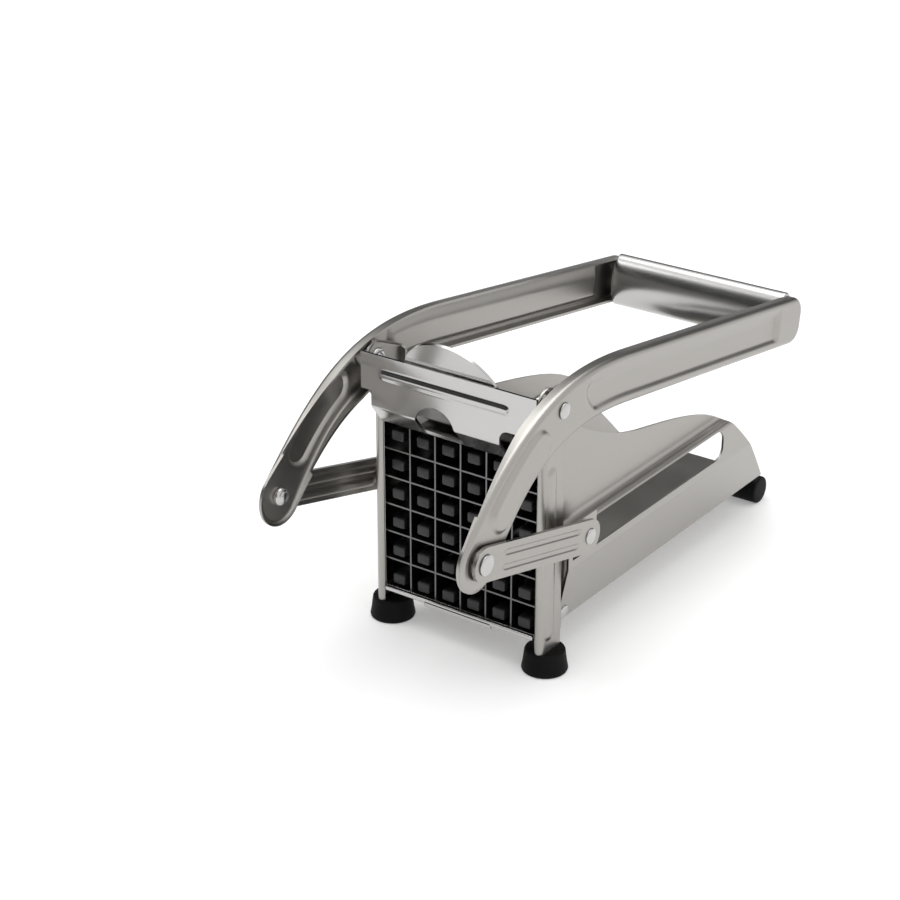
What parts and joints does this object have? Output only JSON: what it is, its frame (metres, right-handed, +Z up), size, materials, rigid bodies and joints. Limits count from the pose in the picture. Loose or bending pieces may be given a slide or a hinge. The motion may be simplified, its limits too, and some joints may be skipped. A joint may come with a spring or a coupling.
{
  "type": "french fry cutter",
  "caption": "Hand lever press for cutting potatoes into fries: folded steel trough, square blade grid, studded pusher, hinged twin-arm handle with links, rubber feet.",
  "frame": {"origin": "on the table surface, under the middle of the cutter's length and width, with the handle down", "axes": "+Z up, +X to the cutter's right as seen from the blade grid, +Y from the blade grid towards the handle's grip"},
  "size_m": [0.1064, 0.2674, 0.1392],
  "materials": {
    "satin_steel": "satin brushed",
    "polished_steel": "polished",
    "black_rubber": "matt black",
    "rivet_steel": "plain",
    "black_plastic": "matt black"
  },
  "bodies": {
    "frame": {"body_shell": "satin_steel", "post_right": "satin_steel", "post_left": "satin_steel", "skirt_rivets": "satin_steel", "cassette_frame": "polished_steel", "blades_upright": "polished_steel", "blades_level": "polished_steel", "front_foot_right": "black_rubber", "front_foot_left": "black_rubber", "front_foot_screws": "rivet_steel", "rear_bracket": "satin_steel", "rear_bracket_rivets": "rivet_steel", "rear_rod": "rivet_steel", "rear_sleeve_right": "black_rubber", "rear_sleeve_left": "black_rubber", "pivot_rivet_right": "rivet_steel", "pivot_rivet_left": "rivet_steel", "pivot_bush_right": "rivet_steel", "pivot_bush_left": "rivet_steel"},
    "handle": {"arm_right": "satin_steel", "arm_left": "satin_steel", "grip_tube": "polished_steel", "crank_rivet_right": "rivet_steel", "crank_rivet_left": "rivet_steel", "crank_washer_right": "rivet_steel", "crank_washer_left": "rivet_steel"},
    "pusher": {"pusher_block": "black_plastic", "pusher_stubs": "black_plastic", "pusher_carriage": "satin_steel", "pusher_hood": "polished_steel", "pusher_screws": "rivet_steel", "hood_screws": "rivet_steel"},
    "link_right": {"link_right": "satin_steel", "link_rivet_right": "rivet_steel", "link_spacer_right": "rivet_steel"},
    "link_left": {"link_left": "satin_steel", "link_rivet_left": "rivet_steel", "link_spacer_left": "rivet_steel"}
  },
  "joints": [
    {"name": "handle_hinge", "type": "hinge", "parent": "frame", "child": "handle", "pos_m": [0, -0.0661, 0.1202], "axis": [1, 0, 0], "range_deg": [0, 90]},
    {"name": "pusher_slide", "type": "slide", "parent": "frame", "child": "pusher", "axis": [0, 1, 0], "range_m": [0, 0.09967]},
    {"name": "link_right_pin", "type": "hinge", "parent": "handle", "child": "link_right", "pos_m": [0.0512, -0.1213, 0.0778], "axis": [1, 0, 0], "range_deg": [-80.14, 0]},
    {"name": "link_left_pin", "type": "hinge", "parent": "handle", "child": "link_left", "pos_m": [-0.0512, -0.1213, 0.0778], "axis": [1, 0, 0], "range_deg": [-80.14, 0]}
  ],
  "couplings": [
    {"joint": "pusher_slide", "follows": "handle_hinge", "m_per_rad": 0.063437},
    {"joint": "link_right_pin", "follows": "handle_hinge", "ratio": -0.88989},
    {"joint": "link_left_pin", "follows": "handle_hinge", "ratio": -0.88989}
  ]
}
